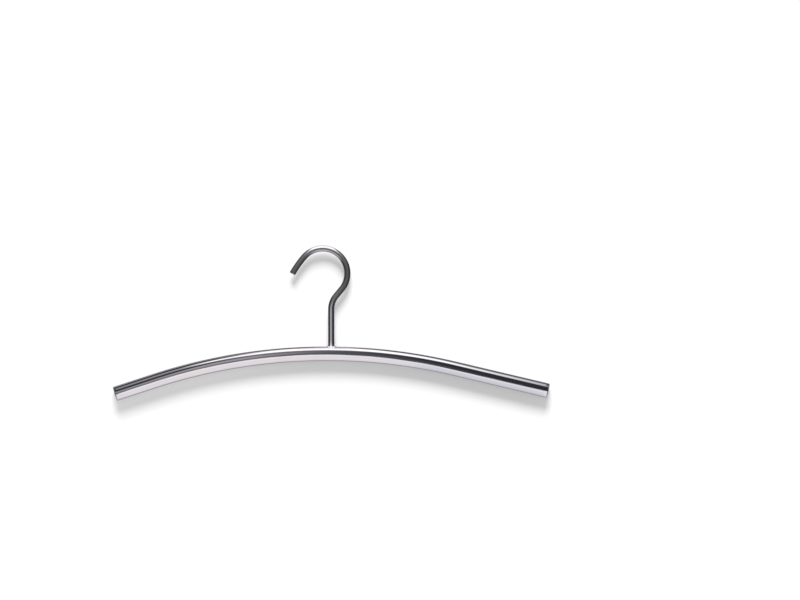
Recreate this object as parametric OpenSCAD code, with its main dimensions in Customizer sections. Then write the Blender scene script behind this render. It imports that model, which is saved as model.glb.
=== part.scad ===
// Arched metal hanger: a bent tube with a welded rod hook and plugged ends.
// Lengths are in mm and angles in degrees. X runs along the bar, Y through its thickness, Z up.
// The origin is the hook's seat, the inside top of its round, where a rail bears.

/* [Bar] */
// Outside diameter of the bar's tube
bar_d = 14; // [12:0.5:20]
// Wall of the bar's tube
bar_wall = 1; // [0.8:0.1:1.5]
// Radius of the arch, to the middle of the tube
arch_r = 535; // [400:5:800]
// Angle that the arch turns through on the side of the hook's open end
left_bend = 18; // [10:0.5:24]
// Angle that the arch turns through on the side of the hook's neck
right_bend = 13.4; // [8:0.2:24]
// Straight run of the bar beyond the arch, on the side of the hook's open end
left_run = 38; // [15:0.2:120]
// Straight run of the bar beyond the arch, on the side of the hook's neck
right_run = 91.6; // [15:0.2:150]

/* [Hook] */
// Diameter of the hook's rod
rod_d = 6; // [4:0.5:7]
// Inside diameter of the hook's round
hook_bore = 41.6; // [34:0.2:60]
// Angle that the hook's round turns through
hook_wrap = 180; // [160:5:200]
// Radius of the open end's easing, to the middle of the rod
tip_r = 110; // [60:5:200]
// Angle that the open end's easing turns through
tip_bend = 9; // [4:1:16]
// Straight run at the rod's free end
tip_run = 2; // [1.5:0.5:12]
// Rounding of the rod's free end
tip_round = 0.8; // [0.3:0.1:1.5]
// Angle between the neck's straight run and the shank
neck_bend = 40; // [25:1:50]
// Radius of the bend from the shank into the neck, to the middle of the rod
neck_r = 20; // [12:0.5:30]
// Straight run of the neck, between its bend and the hook's round
neck_run = 8.4; // [2:0.2:20]
// Straight shank of the hook above the top of the bar
shank_len = 35.8; // [20:0.2:80]
// Distance of the shank from the top of the arch, towards the hook's neck
shank_shift = 5.6; // [0:0.2:20]

/* [Joining] */
// Radius of the weld's hollow fillet round the shank
weld_r = 1.8; // [1:0.1:3]
// Gap all round the rod in its drilled hole
hole_gap = 0.05; // [0.02:0.01:0.2]
// Gap between the rod's foot and the bottom wall of the tube
foot_gap = 0.4; // [0.2:0.1:2]

/* [End plugs] */
// Depth of a plug's spigot in the tube
spigot_len = 8; // [4:0.5:14]
// Gap all round the spigot in the tube
spigot_gap = 0.03; // [0.02:0.01:0.2]
// Lead-in chamfer of the spigot
spigot_chamfer = 0.8; // [0.3:0.1:1.5]
// Thickness of a plug's rim at the tube's edge
rim_t = 1; // [0.8:0.1:3]
// Rounding of the rim's outer edge
rim_round = 0.7; // [0.2:0.1:0.7]
// Rise of the plug's crowned face above its rim
crown_rise = 0.5; // [0.2:0.1:1.5]

/* [Hidden] */
$fn = 96;
section_fn = 96;
bar_bore = bar_d - 2 * bar_wall;

// The hook is laid out in its own plane, as [x, z], from the middle of its round.
hook_r = (hook_bore + rod_d) / 2;
hook_mid = [0, -hook_bore / 2];
wrap_end = hook_wrap - neck_bend;
tip_mid = hook_mid - (tip_r - hook_r) * heading(wrap_end);
neck_top = hook_mid + hook_r * heading(-neck_bend);
neck_foot = neck_top - neck_run * heading(90 - neck_bend);
neck_mid = neck_foot + neck_r * heading(-neck_bend);
shank_top = neck_mid - [neck_r, 0];

// The arch hangs from the shank, with its top level with the shank's lower end.
bar_top = shank_top.y - shank_len;
arch_mid = [shank_top.x - shank_shift, bar_top - bar_d / 2 - arch_r];
left_arch_end = arch_mid + arch_r * heading(90 + left_bend);
right_arch_end = arch_mid + arch_r * heading(90 - right_bend);
bar_at_shank = arch_mid.y + sqrt(pow(arch_r, 2) - pow(shank_shift, 2));

// The rim of the rod's flat foot stands clear of the round bottom wall of the bore.
rod_foot = bar_at_shank + foot_gap - sqrt(pow(bar_bore / 2, 2) - pow(rod_d / 2, 2));

// A bend is a hair thinner all round than the straight runs that it joins, and laps into them, so
// they meet in one clean edge. The easing is a second hair thinner than the hook's round.
hair = 0.02;
lap = 0.3;

// The weld is drawn in turns round the shank, with its section in this many steps each way.
weld_turns = 48;
weld_steps = 5;

// A step of one unit at an angle up from +X
function heading(a) = [cos(a), sin(a)];

// Draws in the hanger's own plane: 2D [x, y] of the children become [x, z]
module upright() {
    rotate([90, 0, 0]) children();
}

// A bent stretch with the children's section, about a centre, from one angle through a sweep
module bent(mid, r, from, sweep) {
    lap_turn = lap / r * 180 / PI;
    translate(mid) rotate(from - lap_turn)
        rotate_extrude(angle = sweep + 2 * lap_turn, $fn = max($fn, round(r)))
            translate([r, 0]) children();
}

// A straight stretch with the children's section, from a point along a heading
module straight(start, along, length) {
    translate(start) rotate(along) rotate([0, 90, 0]) linear_extrude(length) children();
}

// The tube's section, with its wall thinner on both faces by a number of hairs
module tube_section(hairs = 0) {
    difference() {
        circle(d = bar_d - 2 * hairs * hair, $fn = section_fn);
        circle(d = bar_bore + 2 * hairs * hair, $fn = section_fn);
    }
}

module rod_section(hairs = 0) {
    circle(d = rod_d - 2 * hairs * hair, $fn = section_fn);
}

// The tube is drilled through its top wall for the rod.
module bar_tube() {
    color("lightsteelblue") difference() {
        upright() {
            bent(arch_mid, arch_r, 90 - right_bend, left_bend + right_bend) tube_section(hairs = 1);
            straight(left_arch_end, 180 + left_bend, left_run) tube_section();
            straight(right_arch_end, -right_bend, right_run) tube_section();
        }
        translate([shank_top.x, 0, bar_at_shank]) cylinder(d = rod_d + 2 * hole_gap, h = bar_d);
    }
}

// The rod's free end: a short straight run up from its foot, with the far edge rounded off
module rod_end() {
    r = rod_d / 2;
    rotate_extrude() {
        square([r, tip_run - tip_round]);
        square([r - tip_round, tip_run]);
        intersection() {
            translate([r - tip_round, tip_run - tip_round]) circle(tip_round);
            square([r, tip_run]);
        }
    }
}

module hook_rod() {
    color("silver") upright() {
        translate(tip_mid) rotate(wrap_end + tip_bend) translate([tip_r, 0])
            rotate([-90, 0, 0]) rod_end();
        bent(tip_mid, tip_r, wrap_end, tip_bend) rod_section(hairs = 2);
        bent(hook_mid, hook_r, -neck_bend, hook_wrap) rod_section(hairs = 1);
        straight(neck_foot, 90 - neck_bend, neck_run) rod_section();
        bent(neck_mid, neck_r, 180 - neck_bend, neck_bend) rod_section(hairs = 1);
        straight([shank_top.x, rod_foot], 90, shank_top.y - rod_foot) rod_section();
    }
}

// How far the middle of the arch rises from its height at the shank to a distance x beyond it
function arch_rise(x) = sqrt(pow(arch_r, 2) - pow(shank_shift + x, 2)) + arch_mid.y - bar_at_shank;

// The weld's section at one angle round the shank, as [x, y, z] from the bar's middle: down the
// hollow face from the rod to the tube, and back along the tube to the rod. The face is that of
// a ball rolled round the corner, so the ball's middle keeps weld_r from both, on a saddle.
function weld_section(a) =
    let (
        bar_r = bar_d / 2 - hair,
        reach = rod_d / 2 + weld_r,
        side = reach * sin(a),
        high = sqrt(pow(bar_r + weld_r, 2) - side * side),
        ball = [reach * cos(a), side, high],
        to_rod = [-cos(a), -sin(a), 0],
        to_bar = [0, -side, -high] / (bar_r + weld_r),
        turn = acos(to_rod * to_bar),
        toe = ball + weld_r * to_bar,
        root = rod_d / 2 * heading(a),
        face = [
            for (i = [0:weld_steps])
                let (t = turn * i / weld_steps)
                ball + weld_r * (sin(turn - t) * to_rod + sin(t) * to_bar) / sin(turn)
        ],
        base = [
            for (i = [1:weld_steps])
                let (t = i / weld_steps, y = (1 - t) * toe.y + t * root.y)
                [(1 - t) * toe.x + t * root.x, y, sqrt(bar_r * bar_r - y * y)]
        ]
    )
    [for (p = concat(face, base)) [p.x, p.y, p.z + arch_rise(p.x)]];

// The sections joined into a ring round the shank
module hook_weld() {
    sections = [for (i = [0:weld_turns - 1]) weld_section(360 * i / weld_turns)];
    count = len(sections[0]);
    faces = [
        for (i = [0:weld_turns - 1], j = [0:count - 1])
            let (
                this = i * count,
                next = (i + 1) % weld_turns * count,
                k = (j + 1) % count
            )
            each [[this + j, next + k, this + k], [this + j, next + j, next + k]]
    ];
    color("gainsboro") translate([shank_top.x, 0, bar_at_shank])
        polyhedron([for (section = sections) each section], faces);
}

// An end plug standing on the tube's end face, with its spigot down and its crown up
module end_plug() {
    spigot_r = bar_bore / 2 - spigot_gap;
    face_r = bar_d / 2 - rim_round;
    crown_r = (face_r * face_r + crown_rise * crown_rise) / (2 * crown_rise);
    rotate_extrude() {
        polygon([
            [0, -spigot_len],
            [spigot_r - spigot_chamfer, -spigot_len],
            [spigot_r, spigot_chamfer - spigot_len],
            [spigot_r, 0],
            [0, 0]
        ]);
        square([bar_d / 2, rim_t - rim_round]);
        square([face_r, rim_t]);
        intersection() {
            translate([face_r, rim_t - rim_round]) circle(rim_round);
            square([bar_d / 2, rim_t]);
        }
        intersection() {
            translate([0, rim_t + crown_rise - crown_r]) circle(crown_r);
            translate([0, rim_t]) square([face_r, crown_rise]);
        }
    }
}

// Stands a plug on the far end of a straight run of the bar
module at_run_end(start, along, length) {
    upright() translate(start + length * heading(along)) rotate(along) rotate([0, 90, 0]) children();
}

module left_end_plug() {
    color("gainsboro") at_run_end(left_arch_end, 180 + left_bend, left_run) end_plug();
}

module right_end_plug() {
    color("gainsboro") at_run_end(right_arch_end, -right_bend, right_run) end_plug();
}

bar_tube();
hook_rod();
hook_weld();
left_end_plug();
right_end_plug();
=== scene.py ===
import bpy
import numpy as np
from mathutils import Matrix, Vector


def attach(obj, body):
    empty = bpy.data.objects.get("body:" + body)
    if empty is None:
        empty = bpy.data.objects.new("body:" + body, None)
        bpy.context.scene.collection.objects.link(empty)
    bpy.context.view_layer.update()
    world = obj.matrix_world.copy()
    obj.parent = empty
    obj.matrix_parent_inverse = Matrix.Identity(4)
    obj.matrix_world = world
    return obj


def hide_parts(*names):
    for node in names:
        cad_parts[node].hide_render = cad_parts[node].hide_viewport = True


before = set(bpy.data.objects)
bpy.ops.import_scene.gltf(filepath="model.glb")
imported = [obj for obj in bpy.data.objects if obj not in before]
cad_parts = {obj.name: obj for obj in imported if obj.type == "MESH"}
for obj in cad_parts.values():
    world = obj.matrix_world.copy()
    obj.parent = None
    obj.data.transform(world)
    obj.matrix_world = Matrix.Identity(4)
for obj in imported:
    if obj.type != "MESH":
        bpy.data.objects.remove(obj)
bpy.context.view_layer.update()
mm = 0.001
print("packed model loaded")


class Wire:
    # a number coming out of a node: sums and products on it add Math nodes
    def __init__(self, shader, socket):
        self.shader, self.socket = shader, socket

    def math(self, operation, *others):
        values = dict(enumerate((self, *others)))
        return self.shader.add("ShaderNodeMath", {"operation": operation}, values)

    def __add__(self, other): return self.math("ADD", other)
    def __sub__(self, other): return self.math("SUBTRACT", other)
    def __mul__(self, other): return self.math("MULTIPLY", other)
    def __neg__(self): return self.math("MULTIPLY", -1.0)
    def __radd__(self, other): return self.math("ADD", other)
    def __rmul__(self, other): return self.math("MULTIPLY", other)

    def __rsub__(self, other):
        return self.shader.add("ShaderNodeMath", {"operation": "SUBTRACT"}, {0: other, 1: self})

    def rise(self, low, high):
        # 0 at low, 1 at high and an easy slope between; low may be the higher one
        return self.shader.add("ShaderNodeMapRange", {"interpolation_type": "SMOOTHSTEP"},
                               {"Value": self, "From Min": low, "From Max": high})


class Shader:
    def __init__(self, tree):
        self.tree = tree
        tree.nodes.clear()

    def add(self, kind, settings=None, values=None, out=0):
        # any node: its settings first, then what its sockets hold or are linked to
        node = self.tree.nodes.new(kind)
        for key, value in (settings or {}).items():
            setattr(node, key, value)
        for key, value in (values or {}).items():
            if isinstance(value, Wire):
                self.tree.links.new(value.socket, node.inputs[key])
            else:
                node.inputs[key].default_value = value
        return Wire(self, node.outputs[out]) if len(node.outputs) else None

    def mix(self, amount, first, second):
        return self.add("ShaderNodeMix", {"data_type": "RGBA"},
                        {0: amount, 6: first, 7: second}, out=2)

    def parts(self, vector):
        # the x, y and z of a vector
        return [self.add("ShaderNodeSeparateXYZ", {}, {0: vector}, out=i) for i in range(3)]

    def noise(self, where, scale, detail, roughness=0.5):
        return self.add("ShaderNodeTexNoise", {}, {
            "Vector": where, "Scale": scale, "Detail": detail, "Roughness": roughness})

    def stretched(self, where, scale):
        return self.add("ShaderNodeMapping", {}, {"Vector": where, "Scale": scale})


def newMaterial(name):
    material = bpy.data.materials.new(name)
    material.use_nodes = True
    return material, Shader(material.node_tree)


def newObject(name, points, corners, material):
    mesh = bpy.data.meshes.new(name)
    mesh.from_pydata(points.tolist(), [], corners.tolist())
    mesh.materials.append(material)
    piece = bpy.data.objects.new(name, mesh)
    bpy.context.scene.collection.objects.link(piece)
    return piece


# what all the steel shares: sizes of the noises per metre, and how much of each noise counts
polish = {
    "smudgeScale": 38.0, "smudgeEdges": (0.42, 0.68), "smudgeTint": 0.22,
    "waveScale": 26.0,
    "tintScale": 14.0, "tintEdges": (0.35, 0.65),
    "bumpHeight": 0.001,
}


def polishedSteel(name, look):
    # mirror polish with what it leaves: fine lines along the piece, faint waves, and wiped smudges
    material, shader = newMaterial(name)
    alongPiece = shader.add("ShaderNodeTexCoord", out=2)
    inPlace = shader.add("ShaderNodeTexCoord", out=3)
    lines = shader.noise(shader.stretched(alongPiece, look["linePitch"]), 1.0, detail=2.0)
    fineLines = shader.noise(shader.stretched(alongPiece, look["finePitch"]), 1.0, detail=3.0)
    smudge = shader.noise(inPlace, polish["smudgeScale"], detail=4.0, roughness=0.55)
    smudge = smudge.rise(*polish["smudgeEdges"])
    wave = shader.noise(inPlace, polish["waveScale"], detail=1.0)
    tint = shader.noise(inPlace, polish["tintScale"], detail=2.0).rise(*polish["tintEdges"])
    colour = shader.mix(tint, look["cool"], look["warm"])
    colour = shader.mix(smudge * polish["smudgeTint"], colour, look["dull"])
    sheen = (fineLines - 0.5) * look["lineSheen"]
    roughness = look["roughness"] + smudge * look["smudge"] + sheen
    height = wave * look["wave"] + lines * look["lineDepth"] + fineLines * look["fineDepth"]
    bump = shader.add("ShaderNodeBump", {}, {
        "Strength": 1.0, "Distance": polish["bumpHeight"], "Height": height})
    steel = shader.add("ShaderNodeBsdfPrincipled", {}, {
        "Base Color": colour, "Metallic": 1.0, "Roughness": roughness, "Normal": bump})
    shader.add("ShaderNodeOutputMaterial", {}, {"Surface": steel})
    return material


def quads(row, nextRow, column, nextColumn, columns):
    # the numbers of the four points round each face of a grid
    return np.stack(np.broadcast_arrays(
        row * columns + column, row * columns + nextColumn,
        nextRow * columns + nextColumn, nextRow * columns + column), -1).reshape(-1, 4)


def surface(name, grid, along, across, material, node, ring=False):
    # A grid of points, rows by columns. The columns close round. The rows close too where ring is
    # true, and otherwise each end row is one point repeated, a pole.
    # along and across are the row's and the column's distance in metres, kept as the UV map.
    rows, columns = grid.shape[:2]
    points = grid.reshape(-1, 3)
    row = np.arange(rows if ring else rows - 1)[:, None]
    column = np.arange(columns)[None, :]
    corners = quads(row, (row + 1) % rows, column, (column + 1) % columns, columns)
    a, b, c, d = (points[corners[:, i]] for i in range(4))
    volume = np.einsum("ij,ij->", a, np.cross(b, c)) + np.einsum("ij,ij->", a, np.cross(c, d))
    rowEdge = np.append(along, along[0]) if ring else along
    columnEdge = np.append(across, across[0] + (across[1] - across[0]) * columns)
    u = np.stack(np.broadcast_arrays(rowEdge[row], rowEdge[row],
                                     rowEdge[row + 1], rowEdge[row + 1]), -1)
    v = np.stack(np.broadcast_arrays(columnEdge[column], columnEdge[column + 1],
                                     columnEdge[column + 1], columnEdge[column]), -1)
    u = np.broadcast_to(u, (row.size, columns, 4)).reshape(-1, 4)
    v = np.broadcast_to(v, (row.size, columns, 4)).reshape(-1, 4)
    if volume < 0:
        corners, u, v = corners[:, ::-1], u[:, ::-1], v[:, ::-1]
    piece = newObject(name, points, corners, material)
    sheet = piece.data.uv_layers.new(name="UVMap")
    sheet.data.foreach_set("uv", np.stack([u, v], -1).ravel())
    piece.data.polygons.foreach_set("use_smooth", np.ones(len(corners), bool))
    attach(piece, "root")
    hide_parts(node)
    return piece


def heading(degrees):
    # a step of one unit at an angle up from +X, as [x, z]: (cos, sin)
    return np.array([np.cos(np.radians(degrees)), np.sin(np.radians(degrees))])


def straightPath(start, degrees, length, pitch):
    # points along a line, as [x, z], with the heading at each: start + step * heading
    count = max(2, int(np.ceil(length / pitch)) + 1)
    steps = np.linspace(0, length, count)
    return start + steps[:, None] * heading(degrees), np.full(count, float(degrees))


def bentPath(mid, radius, start, sweep, pitch):
    # points round a centre from one polar angle through a sweep, with the heading at each:
    # mid + radius * (cos(turn), sin(turn)), heading 90 degrees on from turn
    count = max(3, int(np.ceil(np.radians(abs(sweep)) * radius / pitch)) + 1)
    turn = start + np.linspace(0, sweep, count)
    spot = mid + radius * np.stack([np.cos(np.radians(turn)), np.sin(np.radians(turn))], -1)
    return spot, turn + np.copysign(90, sweep)


def joined(*stretches):
    # stretches laid end to end, each without the point that the one before it ends on
    spots = np.concatenate([s[0] if i == 0 else s[0][1:] for i, s in enumerate(stretches)])
    turns = np.concatenate([s[1] if i == 0 else s[1][1:] for i, s in enumerate(stretches)])
    return spots, turns


def roundSection(spots, turns, radii, columns):
    # each point of the path carries a circle square to its heading:
    # spot + radius * (cos(angle) * side + sin(angle) * Y)
    angle = np.linspace(0, 2 * np.pi, columns, endpoint=False)
    side = np.stack([-np.sin(np.radians(turns)), np.cos(np.radians(turns))], -1)
    out = np.cos(angle)[None, :, None] * side[:, None, :] * radii[:, None, None]
    flat = spots[:, None, :] + out
    depth = np.broadcast_to(np.sin(angle)[None, :] * radii[:, None], flat.shape[:2])
    return np.stack([flat[..., 0], depth, flat[..., 1]], -1)


def lengthsAlong(spots, radii):
    # distance walked over the surface from row to row: the root of step squared + growth squared
    step = np.hypot(np.linalg.norm(np.diff(spots, axis=0), axis=1), np.diff(radii))
    return np.concatenate([[0], np.cumsum(step)])


def lengthsAround(radius, columns):
    return np.linspace(0, 2 * np.pi * radius * mm, columns, endpoint=False)


# sizes in millimetres and degrees, in the hanger's own plane
bar = {
    "diameter": 14.0, "wall": 1.0, "archRadius": 535.0,
    "leftBend": 18.0, "rightBend": 13.4, "leftRun": 38.0, "rightRun": 91.6,
    "edge": 0.12,            # rounding of the tube's cut edges
    "columns": 112, "archPitch": 1.3, "runPitch": 3.0, "edgeSteps": 5,
    "steel": {
        "cool": (0.76, 0.75, 0.79, 1), "warm": (0.77, 0.75, 0.76, 1), "dull": (0.66, 0.65, 0.67, 1),
        "roughness": 0.07, "smudge": 0.035, "lineSheen": 0.03,
        "linePitch": (14.0, 900.0, 1.0), "finePitch": (60.0, 5200.0, 1.0),
        "wave": 0.10, "lineDepth": 0.004, "fineDepth": 0.0012,
    },
}
hook = {
    "diameter": 6.0, "bore": 41.6, "wrap": 180.0,
    "neckBend": 40.0, "neckRadius": 20.0, "neckRun": 8.4, "shank": 35.8, "shift": 5.6,
    "tipRadius": 110.0, "tipBend": 9.0, "tipRun": 2.0, "tipRound": 0.8,
    "footDepth": 11.8,       # how far the rod goes down into the bar
    "footRim": 0.1,          # from the last ring of the foot's flat face to its edge
    "columns": 72, "bendPitch": 0.7, "shankPitch": 2.0, "neckPitch": 1.5, "tipPitch": 0.6,
    "tipSteps": 9, "faceRings": (0.75, 0.5, 0.25, 0),
    "steel": {
        "cool": (0.60, 0.59, 0.63, 1), "warm": (0.61, 0.59, 0.60, 1), "dull": (0.50, 0.49, 0.51, 1),
        "roughness": 0.12, "smudge": 0.04, "lineSheen": 0.04,
        "linePitch": (18.0, 1400.0, 1.0), "finePitch": (80.0, 6800.0, 1.0),
        "wave": 0.06, "lineDepth": 0.004, "fineDepth": 0.0015,
    },
}

# the hook is laid out from the middle of its round, and the arch hangs from the shank
hookRadius = (hook["bore"] + hook["diameter"]) / 2
hookMid = np.array([0, -hook["bore"] / 2])
wrapEnd = hook["wrap"] - hook["neckBend"]
tipMid = hookMid - (hook["tipRadius"] - hookRadius) * heading(wrapEnd)
neckTop = hookMid + hookRadius * heading(-hook["neckBend"])
neckFoot = neckTop - hook["neckRun"] * heading(90 - hook["neckBend"])
neckMid = neckFoot + hook["neckRadius"] * heading(-hook["neckBend"])
shankTop = neckMid - [hook["neckRadius"], 0]
barTop = shankTop[1] - hook["shank"]
archMid = np.array([shankTop[0] - hook["shift"], barTop - bar["diameter"] / 2 - bar["archRadius"]])
leftArchEnd = archMid + bar["archRadius"] * heading(90 + bar["leftBend"])
rightArchEnd = archMid + bar["archRadius"] * heading(90 - bar["rightBend"])
leftEnd = leftArchEnd + bar["leftRun"] * heading(180 + bar["leftBend"])
rightEnd = rightArchEnd + bar["rightRun"] * heading(-bar["rightBend"])


def barTube():
    # The tube's outer face is carried from end to end, rolls over each cut edge in a small
    # quarter round, and comes back as the bore.
    spots, turns = joined(
        straightPath(leftEnd, bar["leftBend"], bar["leftRun"], bar["runPitch"]),
        bentPath(archMid, bar["archRadius"], 90 + bar["leftBend"],
                 -bar["leftBend"] - bar["rightBend"], bar["archPitch"]),
        straightPath(rightArchEnd, -bar["rightBend"], bar["rightRun"], bar["runPitch"]))
    outer, inner, edge = bar["diameter"] / 2, bar["diameter"] / 2 - bar["wall"], bar["edge"]
    roll = np.linspace(0, np.pi / 2, bar["edgeSteps"])
    inward = np.concatenate([edge * (1 - np.sin(roll)), edge * (1 - np.sin(roll[::-1]))])
    rimRadii = np.concatenate([outer - edge * (1 - np.cos(roll)),
                               inner + edge * (1 - np.cos(roll[::-1]))])
    rightRim = rightEnd - inward[:, None] * heading(-bar["rightBend"])
    leftRim = leftEnd + inward[::-1][:, None] * heading(bar["leftBend"])
    body = slice(1, -1)
    allSpots = np.concatenate([spots[body], rightRim, spots[body][::-1], leftRim])
    allTurns = np.concatenate([turns[body], np.full(len(rightRim), turns[-1]),
                               turns[body][::-1], np.full(len(leftRim), turns[0])])
    allRadii = np.concatenate([np.full(len(spots) - 2, outer), rimRadii,
                               np.full(len(spots) - 2, inner), rimRadii[::-1]])
    grid = roundSection(allSpots, allTurns, allRadii, bar["columns"]) * mm
    return surface("arched_tube", grid, lengthsAlong(allSpots, allRadii) * mm,
                   lengthsAround(outer, bar["columns"]),
                   polishedSteel("tubeSteel", bar["steel"]), "bar_tube", ring=True)


def hookRod():
    # One rod from its flat foot in the bar, up the shank, round the hook, to the rounded free end.
    rod, tipRound = hook["diameter"] / 2, hook["tipRound"]
    foot = np.array([shankTop[0], barTop - hook["footDepth"]])
    tipEnd = tipMid + hook["tipRadius"] * heading(wrapEnd + hook["tipBend"])
    tipTurn = wrapEnd + hook["tipBend"] + 90
    pathSpots, pathTurns = joined(
        straightPath(foot, 90, shankTop[1] - foot[1], hook["shankPitch"]),
        bentPath(neckMid, hook["neckRadius"], 180, -hook["neckBend"], hook["bendPitch"]),
        straightPath(neckFoot, 90 - hook["neckBend"], hook["neckRun"], hook["neckPitch"]),
        bentPath(hookMid, hookRadius, -hook["neckBend"], hook["wrap"], hook["bendPitch"]),
        bentPath(tipMid, hook["tipRadius"], wrapEnd, hook["tipBend"], hook["bendPitch"]),
        straightPath(tipEnd, tipTurn, hook["tipRun"] - tipRound, hook["tipPitch"]))
    roll = np.linspace(0, np.pi / 2, hook["tipSteps"])[1:]
    tip = pathSpots[-1] + tipRound * np.sin(roll)[:, None] * heading(tipTurn)
    footRadii = np.array([0.0, rod / 2, rod - hook["footRim"]])
    tipRadii = rod - tipRound * (1 - np.cos(roll))
    faceRadii = (rod - tipRound) * np.array(hook["faceRings"])
    radii = np.concatenate([footRadii, np.full(len(pathSpots), rod), tipRadii, faceRadii])
    spots = np.concatenate([np.repeat(foot[None], len(footRadii), 0), pathSpots,
                            tip, np.repeat(tip[-1:], len(faceRadii), 0)])
    turns = np.concatenate([np.full(len(footRadii), 90.0), pathTurns,
                            np.full(len(tipRadii) + len(faceRadii), tipTurn)])
    grid = roundSection(spots, turns, radii, hook["columns"]) * mm
    return surface("bent_hook", grid, lengthsAlong(spots, radii) * mm,
                   lengthsAround(rod, hook["columns"]),
                   polishedSteel("rodSteel", hook["steel"]), "hook_rod")


weld = {
    "radius": 1.8,           # of the ball that is rolled round the corner
    "ripple": 0.02,          # what the polishing left of the bead's waves
    "ripples": 22,
    "inRod": 0.25, "inBar": 0.4, "sag": 0.1,        # how far the closed back lies in rod and bar
    "columns": 176, "steps": 26,
    "sheetLength": 8.0,      # of the UV map, round the section
    "steel": {
        "cool": (0.66, 0.65, 0.67, 1), "warm": (0.68, 0.64, 0.60, 1), "dull": (0.50, 0.46, 0.43, 1),
        "roughness": 0.15, "smudge": 0.08, "lineSheen": 0.05,
        "linePitch": (700.0, 500.0, 1.0), "finePitch": (2600.0, 2600.0, 1.0),
        "wave": 0.05, "lineDepth": 0.02, "fineDepth": 0.006,
    },
}


def hookWeld():
    # A ball rolled round the corner between rod and bar: at angle a round the rod its middle is
    # reach from the rod's axis and bar radius + ball radius from the bar's, and the hollow face
    # is the ball's arc from the rod to the bar. The section closes just inside both.
    barR, rod, ball = bar["diameter"] / 2, hook["diameter"] / 2, weld["radius"]
    a = np.linspace(0, 2 * np.pi, weld["columns"], endpoint=False)[:, None]
    reach = rod + ball
    side = reach * np.sin(a)
    high = np.sqrt((barR + ball) ** 2 - side ** 2)
    middle = np.stack([reach * np.cos(a), side, high], -1)
    toRod = np.stack([-np.cos(a), -np.sin(a), 0 * a], -1)
    toBar = np.stack([0 * a, -side, -high], -1) / (barR + ball)
    turn = np.arccos((toRod * toBar).sum(-1))[..., None]
    t = np.linspace(0, 1, weld["steps"])[None, :, None]
    face = np.sin(turn * (1 - t)) * toRod + np.sin(turn * t) * toBar
    face = middle + ball * face / np.sin(turn)
    away = middle - face
    away /= np.linalg.norm(away, axis=-1, keepdims=True)
    bead = np.sin(np.pi * t) * np.cos(weld["ripples"] * a)[..., None]
    face = face + away * weld["ripple"] * bead
    inRod = (rod - weld["inRod"]) * np.stack([np.cos(a), np.sin(a)], -1)
    sunk = face[:, [-1]] - away[:, [-1]] * weld["inRod"]
    root = np.concatenate([inRod, np.full_like(inRod[..., :1], barR - weld["inBar"])], -1)
    back = np.concatenate([sunk, (sunk + root) / 2 - [0, 0, weld["sag"]], root,
                           np.concatenate([inRod, face[:, :1, 2:]], -1)], 1)
    grid = np.concatenate([face, back], 1)
    x = grid[..., 0]
    rise = np.sqrt(bar["archRadius"] ** 2 - (hook["shift"] + x) ** 2) + archMid[1]
    grid = grid + np.stack([0 * x + shankTop[0], 0 * x, rise], -1)
    grid = np.swapaxes(grid, 0, 1) * mm
    along = np.linspace(0, weld["sheetLength"] * mm, len(grid))
    return surface("weld_fillet", grid, along, lengthsAround(reach, weld["columns"]),
                   polishedSteel("weldSteel", weld["steel"]), "hook_weld", ring=True)


plug = {
    "spigot": 8.0, "gap": 0.03, "chamfer": 0.8, "rim": 1.0, "rimRound": 0.7, "crown": 0.5,
    "seam": 0.1,             # rounding of the rim's inner edge, where it meets the tube
    "ring": 2.0,             # one ring round the spigot, this far down
    "columns": 112, "roundSteps": 9, "domeSteps": 14,
    "steel": {
        "cool": (0.68, 0.67, 0.70, 1), "warm": (0.70, 0.67, 0.68, 1), "dull": (0.55, 0.54, 0.56, 1),
        "roughness": 0.12, "smudge": 0.05, "lineSheen": 0.05,
        "linePitch": (3000.0, 12.0, 1.0), "finePitch": (9000.0, 30.0, 1.0),
        "wave": 0.04, "lineDepth": 0.006, "fineDepth": 0.002,
    },
}
plugSteel = polishedSteel("plugSteel", plug["steel"])


def endPlug(name, end, degrees, node):
    # A turned profile of radius against height, from the spigot's middle to the crown's middle.
    # The crown is a ball's cap: height = rim + crown - ball + root(ball squared - radius squared)
    spigotR = bar["diameter"] / 2 - bar["wall"] - plug["gap"]
    rimR, seam, spigotEnd = bar["diameter"] / 2, plug["seam"], -plug["spigot"]
    faceR = rimR - plug["rimRound"]
    ball = (faceR ** 2 + plug["crown"] ** 2) / (2 * plug["crown"])
    roll = np.linspace(0, np.pi / 2, plug["roundSteps"])
    dome = np.linspace(faceR, 0, plug["domeSteps"])
    domeHigh = plug["rim"] + plug["crown"] - ball + np.sqrt(ball ** 2 - dome ** 2)
    profile = np.concatenate([
        [[0, spigotEnd], [spigotR / 2, spigotEnd], [spigotR - plug["chamfer"], spigotEnd],
         [spigotR, spigotEnd + plug["chamfer"]], [spigotR, -plug["ring"]], [spigotR, 0.0]],
        np.stack([rimR - seam * (1 - np.sin(roll)), seam * (1 - np.cos(roll))], -1),
        np.stack([faceR + plug["rimRound"] * np.cos(roll),
                  plug["rim"] - plug["rimRound"] * (1 - np.sin(roll))], -1),
        np.stack([dome, domeHigh], -1)[1:],
    ])
    spots, radii = end + profile[:, 1:] * heading(degrees), profile[:, 0]
    turns = np.full(len(spots), float(degrees))
    grid = roundSection(spots, turns, radii, plug["columns"]) * mm
    return surface(name, grid, lengthsAlong(spots, radii) * mm,
                   lengthsAround(rimR, plug["columns"]), plugSteel, node)


tube = barTube()
rodPiece = hookRod()
fillet = hookWeld()
leftCap = endPlug("left_cap", leftEnd, 180 + bar["leftBend"], "left_end_plug")
rightCap = endPlug("right_cap", rightEnd, -bar["rightBend"], "right_end_plug")
print("pieces made")


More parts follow.
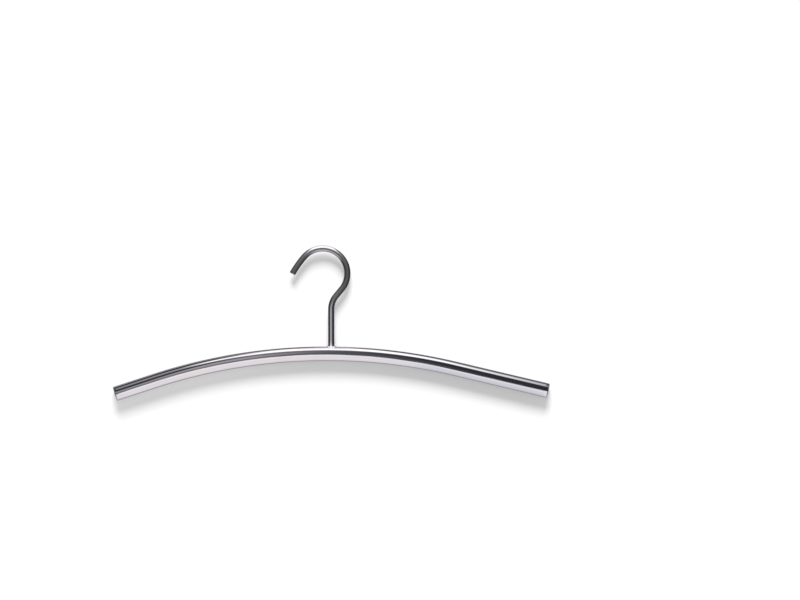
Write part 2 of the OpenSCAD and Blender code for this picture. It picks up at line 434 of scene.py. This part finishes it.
studio = {
    "paper": 0.93,
    "behind": 7.3,           # how far the pale surface is behind the rod's middle, in millimetres
    "reach": 3.0,            # of the pale surface to each side, in metres
    "sun": 4.1, "sunSpread": 27.0, "sunFrom": (-0.02, -0.55, 0.83),
    "fill": 0.50,
    "far": 40.0, "apart": 5.0,      # the surroundings differ in size, so that none hides another
    "warm": (1.02, 0.985, 1.0, 1), "cold": (1.0, 0.98, 1.01, 1), "blue": (0.965, 0.973, 1.04, 1),
    "night": (0.97, 0.94, 1.11, 1), "dusk": (1.0, 0.965, 1.0, 1),
    # How much of the surface's white doesn't depend on the lamps, with painted light in it: a
    # painted pool of bounce light below the bar's left half, fading from 3 to 17 mm below its lower
    # edge, and painted shade on the right half, where less of the white deepens the bar's shadow.
    "glowAndPaintedLight": [(0.25,), (0.115, ("below", 0.017, 0.003), ("x", 0.01, -0.13)),
             (-0.035, ("x", 0.0, 0.10))],
}


def layered(readings, patches):
    # Levels added up. A patch is its level, times an easy slope at each of its edges, given as
    # the reading that the edge is in, where the slope is 0 and where it is 1.
    total = 0
    for level, *edges in patches:
        for reading, low, high in edges:
            level = level * readings[reading].rise(low, high)
        total = total + level
    return total


def readingsRound(x, y, z):
    # of a direction: its parts, how far it is to either side, and its degrees round the bar's
    # length, 0 at the camera and 90 straight up
    return {"x": x, "y": y, "z": z, "side": x.math("ABSOLUTE"),
            "up": z.math("ARCTAN2", -y) * (180 / np.pi)}


def lightSheet(name, grid, light, receivers, distant=False):
    # A sheet of light that only the receivers mirror, and that every other reflection passes
    # through. light gives its strength and colour from the place on the sheet, or from the
    # direction to it where distant.
    rows, columns = grid.shape[:2]
    row, column = np.arange(rows - 1)[:, None], np.arange(columns - 1)[None, :]
    corners = quads(row, row + 1, column, column + 1, columns)
    material, shader = newMaterial(name)
    material.cycles.emission_sampling = "NONE"
    where = shader.add("ShaderNodeTexCoord", out=3)
    if distant:
        where = shader.add("ShaderNodeVectorMath", {"operation": "NORMALIZE"}, {0: where})
    strength, colour = light(*shader.parts(where))
    shine = shader.add("ShaderNodeEmission", {}, {"Color": colour, "Strength": strength})
    clear = shader.add("ShaderNodeBsdfTransparent")
    both = shader.add("ShaderNodeAddShader", {}, {0: shine, 1: clear})
    shader.add("ShaderNodeOutputMaterial", {}, {"Surface": both})
    piece = newObject(name, grid.reshape(-1, 3), corners, material)
    piece.visible_camera = piece.visible_diffuse = piece.visible_shadow = False
    group = bpy.data.collections.new(name + "_receivers")
    for receiver in receivers:
        group.objects.link(receiver)
    piece.light_linking.receiver_collection = group


def card(x, y, z):
    # the four corners of a flat card, from its low and high x and from its two edges in y and z
    return np.array([[[x[0], y[0], z[0]], [x[1], y[0], z[0]]],
                     [[x[0], y[1], z[1]], [x[1], y[1], z[1]]]])


def globe(radius, rows=19, columns=37):
    # radius * (cos(tilt) cos(turn), cos(tilt) sin(turn), sin(tilt))
    tilt = np.radians(np.linspace(-90, 90, rows))[:, None]
    turn = np.radians(np.linspace(0, 360, columns))[None, :]
    return radius * np.stack(np.broadcast_arrays(
        np.cos(tilt) * np.cos(turn), np.cos(tilt) * np.sin(turn), np.sin(tilt)), -1)


barLight = {
    "paper": [(1.0, ("up", 79, 86), ("upBack", 115, 103), ("x", -0.24, -0.09), ("x", 0.38, 0.14))],
    "paperLevel": 1.3,
    "wall": [
        (0.14, ("up", 100, 120)),
        (0.20, ("up", 116, 126), ("x", -0.12, -0.22)),
        (0.32, ("up", 108, 116), ("side", 0.045, 0.01)),
        (0.08, ("side", 0.66, 0.90)),
        (0.45, ("side", 0.66, 0.90), ("z", -0.5, 0.7)),
        (0.02, ("side", 0.8, 0.3)),
    ],
    "table": [(1.0, ("upFront", -8, -14), ("up", -128, -112), ("side", 0.45, 0.33))],
    # degrees that the paper's back edge is nearer by, and the table's front edge lower by
    "paperSooner": [(5, ("x", 0.05, 0.14))],
    "tableLater": [(9, ("x", -0.008, -0.044)), (2.5, ("x", 0.012, 0.040))],
    "tableLevel": [(1.03,), (-0.16, ("x", -0.08, -0.25)), (-0.13, ("up", -33, -45)),
                   (0.08, ("up", -53, -68)), (-0.12, ("up", -74, -100))],
    "floor": [(0.38, ("up", -112, -130))],
    "blue": [(1.0, ("lean", 0.13, 0.21)), (1.0, ("lean", -0.16, -0.24), ("z", 0.0, 0.05))],
}


def roundTheBar(x, y, z):
    # a pale table below, lit paper above, a dim wall behind, and grey sides
    readings = readingsRound(x, y, z)
    up = readings["up"]
    readings["upBack"] = up + layered(readings, barLight["paperSooner"])
    readings["upFront"] = up + layered(readings, barLight["tableLater"])
    readings["lean"] = x.math("DIVIDE", z)          # the slope of the bar where it mirrors this
    paper = layered(readings, barLight["paper"])
    table = layered(readings, barLight["table"])
    level = layered(readings, barLight["wall"]) * (1 - paper) + paper * barLight["paperLevel"]
    level = level * (1 - table) + table * layered(readings, barLight["tableLevel"])
    colour = x.shader.mix(layered(readings, barLight["blue"]), studio["warm"], studio["blue"])
    return level + layered(readings, barLight["floor"]), colour


hookLight = [
    (0.060,),
    (0.10, ("y", -0.5, -1.0)),                                                  # towards the camera
    (0.40, ("y", 0.80, 0.96)),                                                  # straight behind
    (1.5, ("z", 0.36, 0.62), ("side", 0.55, 0.34), ("up", 128, 112)),           # overhead
    (0.18, ("z", 0.10, 0.50), ("side", 0.95, 0.50)),                            # the walls' tops
    (0.45, ("z", -0.30, -0.56), ("x", -0.85, -0.60), ("x", 0.62, 0.25)),        # the table
]


def roundTheHook(x, y, z):
    # the same room as the rod shows it: white overhead, a dimmer table below, dark flanks
    return layered(readingsRound(x, y, z), hookLight), studio["cold"]


weldLight = [(0.10,), (1.35, ("up", -4, 11), ("up", 140, 122), ("side", 0.88, 0.50))]


def roundTheWeld(x, y, z):
    # light from ahead and overhead, so that the hollow bead is bright right across
    return layered(readingsRound(x, y, z), weldLight), studio["cold"]


softboxLight = {
    "card": ((-0.8, 0.8), (-0.95, 0.006), (1.05, 1.05)),
    "box": [(1.0, ("y", -0.86, -0.76), ("y", -0.05, -0.16))],
    "strip": [(1.0, ("x", -0.52, -0.38), ("x", 0.60, 0.39), ("y", -0.655, -0.555))],
    "borderLevel": 0.32, "stripLevel": 1.03,
}


def softbox(x, y, z):
    # a strip light above, with a dimmer border, fading at its two ends
    readings = {"x": x, "y": y}
    strip = layered(readings, softboxLight["strip"])
    level = softboxLight["borderLevel"] + strip * softboxLight["stripLevel"]
    return (layered(readings, softboxLight["box"]) * level,
            x.shader.mix(strip, studio["blue"], studio["warm"]))


roomLight = {
    "card": ((-1.6, 1.6), (-0.9, -0.9), (-0.28, 1.3)),
    "step": [(0.26, ("x", -0.28, -0.36))],          # how much lower the edge is at the far left
    "dark": [(0.088,), (-0.073, ("x", -0.02, 0.25))],
    "grey": [(0.125, ("x", 0.03, -0.17), ("edge", 0.60, 0.45)),
             (0.18, ("x", 0.03, -0.17), ("edge", 0.60, 0.45), ("z", -0.10, 0.20))],
    "haze": [(0.075, ("x", -0.34, -0.27), ("x", 0.10, -0.08), ("edge", 0.45, 0.60))],
    "gap": [(0.7, ("x", -0.25, -0.34), ("edge", 0.45, 0.60))],          # darker left of the haze
    "greyTint": (0.0, 0.1),
}


def room(x, y, z):
    # the dark room behind the camera: grey to the left under a slanting edge, a faint haze
    # above that, and near black and bluer to the right
    readings = {"x": x, "z": z}
    readings["edge"] = z + layered(readings, roomLight["step"])
    grey = layered(readings, roomLight["grey"])
    level = layered(readings, roomLight["dark"]) * (1 - layered(readings, roomLight["gap"]))
    level = level + grey + layered(readings, roomLight["haze"])
    return level, x.shader.mix(grey.rise(*roomLight["greyTint"]), studio["night"], studio["dusk"])


stripeLight = {
    "card": ((-0.021, 0.023), (-0.03, -0.03), (-0.10, -0.03)),
    "across": [(1.0, ("x", -0.0198, -0.0102), ("x", 0.0225, 0.0115))],
    "down": [(0.46, ("z", -0.036, -0.060)), (0.6, ("z", -0.0860, -0.0900))],
}


def shankStripe(x, y, z):
    # a pale board close in front that draws the stripe down the shank, brighter at its foot
    readings = {"x": x, "z": z}
    level = layered(readings, stripeLight["across"]) * layered(readings, stripeLight["down"])
    return level, studio["cold"]


def paleSurface():
    # a large flat sheet square to Y, pale in front and open behind
    reach, behind, paper = studio["reach"], studio["behind"] * mm, studio["paper"]
    material, shader = newMaterial("paleSurface")
    place = shader.add("ShaderNodeTexCoord", out=3)
    off = shader.add("ShaderNodeVectorMath", {"operation": "DISTANCE"}, {
        0: place, 1: (archMid[0] * mm, behind, archMid[1] * mm)}, out=1)
    below = (bar["archRadius"] - bar["diameter"] / 2) * mm - off
    # the camera's share of white, with painted bounce light below the bar's left half and painted
    # shade on the right half
    whiteShareAndPaintedLight = layered({"below": below, "x": shader.parts(place)[0]}, studio["glowAndPaintedLight"])
    seen = shader.add("ShaderNodeLightPath", out=0)
    sheet = shader.add("ShaderNodeBsdfDiffuse", {}, {"Color": (paper, paper, paper, 1)})
    glowAndPaintedLight = shader.add("ShaderNodeEmission", {}, {"Color": (1, 1, 1, 1), "Strength": 1.0})
    front = shader.add("ShaderNodeMixShader", {}, {0: seen * whiteShareAndPaintedLight, 1: sheet, 2: glowAndPaintedLight})
    openBack = shader.add("ShaderNodeBsdfTransparent")
    fromBehind = shader.add("ShaderNodeNewGeometry", out=6)
    both = shader.add("ShaderNodeMixShader", {}, {0: fromBehind, 1: front, 2: openBack})
    shader.add("ShaderNodeOutputMaterial", {}, {"Surface": both})
    points = card((-reach, reach), (behind, behind), (-reach, reach)).reshape(-1, 3)
    piece = newObject("pale_surface", points, np.array([[0, 1, 3, 2]]), material)
    piece.visible_glossy = False


def surroundings():
    # The camera sees plain white and the pale surface gets an even fill. The steel mirrors
    # nothing of it, because what it mirrors stands round it as sheets of light.
    world = bpy.data.worlds.new("studio")
    bpy.context.scene.world = world
    world.use_nodes = True
    shader = Shader(world.node_tree)
    isCamera = shader.add("ShaderNodeLightPath", out=0)
    isGlossy = shader.add("ShaderNodeLightPath", out=3)
    level = isCamera + studio["fill"] * (1 - isCamera) * (1 - isGlossy)
    light = shader.add("ShaderNodeBackground", {}, {"Color": (1, 1, 1, 1), "Strength": level})
    shader.add("ShaderNodeOutputWorld", {}, {"Surface": light})


def keyLamp():
    lamp = bpy.data.lights.new("key", "SUN")
    lamp.energy, lamp.angle = studio["sun"], np.radians(studio["sunSpread"])
    piece = bpy.data.objects.new("key", lamp)
    bpy.context.scene.collection.objects.link(piece)
    piece.rotation_euler = (-Vector(studio["sunFrom"])).to_track_quat("-Z", "Y").to_euler()
    piece.visible_glossy = False


view = {
    "lens": 250.0, "sensor": 36.0,
    "frameWidth": 769.2,                    # millimetres of the hanger's plane across the picture
    "middle": (74.3, -46.6),                # x and z at the picture's middle
    "roll": 0.11,                           # degrees
    "clipEnd": 80,
}


def camera():
    lens = bpy.data.cameras.new("camera")
    lens.lens, lens.sensor_width, lens.clip_end = view["lens"], view["sensor"], view["clipEnd"]
    piece = bpy.data.objects.new("camera", lens)
    bpy.context.scene.collection.objects.link(piece)
    distance = view["frameWidth"] * mm * view["lens"] / view["sensor"]
    piece.location = (view["middle"][0] * mm, -distance, view["middle"][1] * mm)
    piece.rotation_euler = (np.pi / 2, np.radians(view["roll"]), 0)
    bpy.context.scene.camera = piece


barPieces = [tube, leftCap, rightCap]
far, apart = studio["far"], studio["apart"]
paleSurface()
surroundings()
lightSheet("bar_surroundings", globe(far), roundTheBar, barPieces, distant=True)
lightSheet("hook_surroundings", globe(far + apart), roundTheHook, [rodPiece], distant=True)
lightSheet("weld_surroundings", globe(far + 2 * apart), roundTheWeld, [fillet], distant=True)
lightSheet("softbox", card(*softboxLight["card"]), softbox, barPieces)
lightSheet("room_card", card(*roomLight["card"]), room, barPieces)
lightSheet("stripe_card", card(*stripeLight["card"]), shankStripe, [rodPiece])
keyLamp()
camera()
bpy.context.scene.view_settings.view_transform = "Standard"
print("studio set")
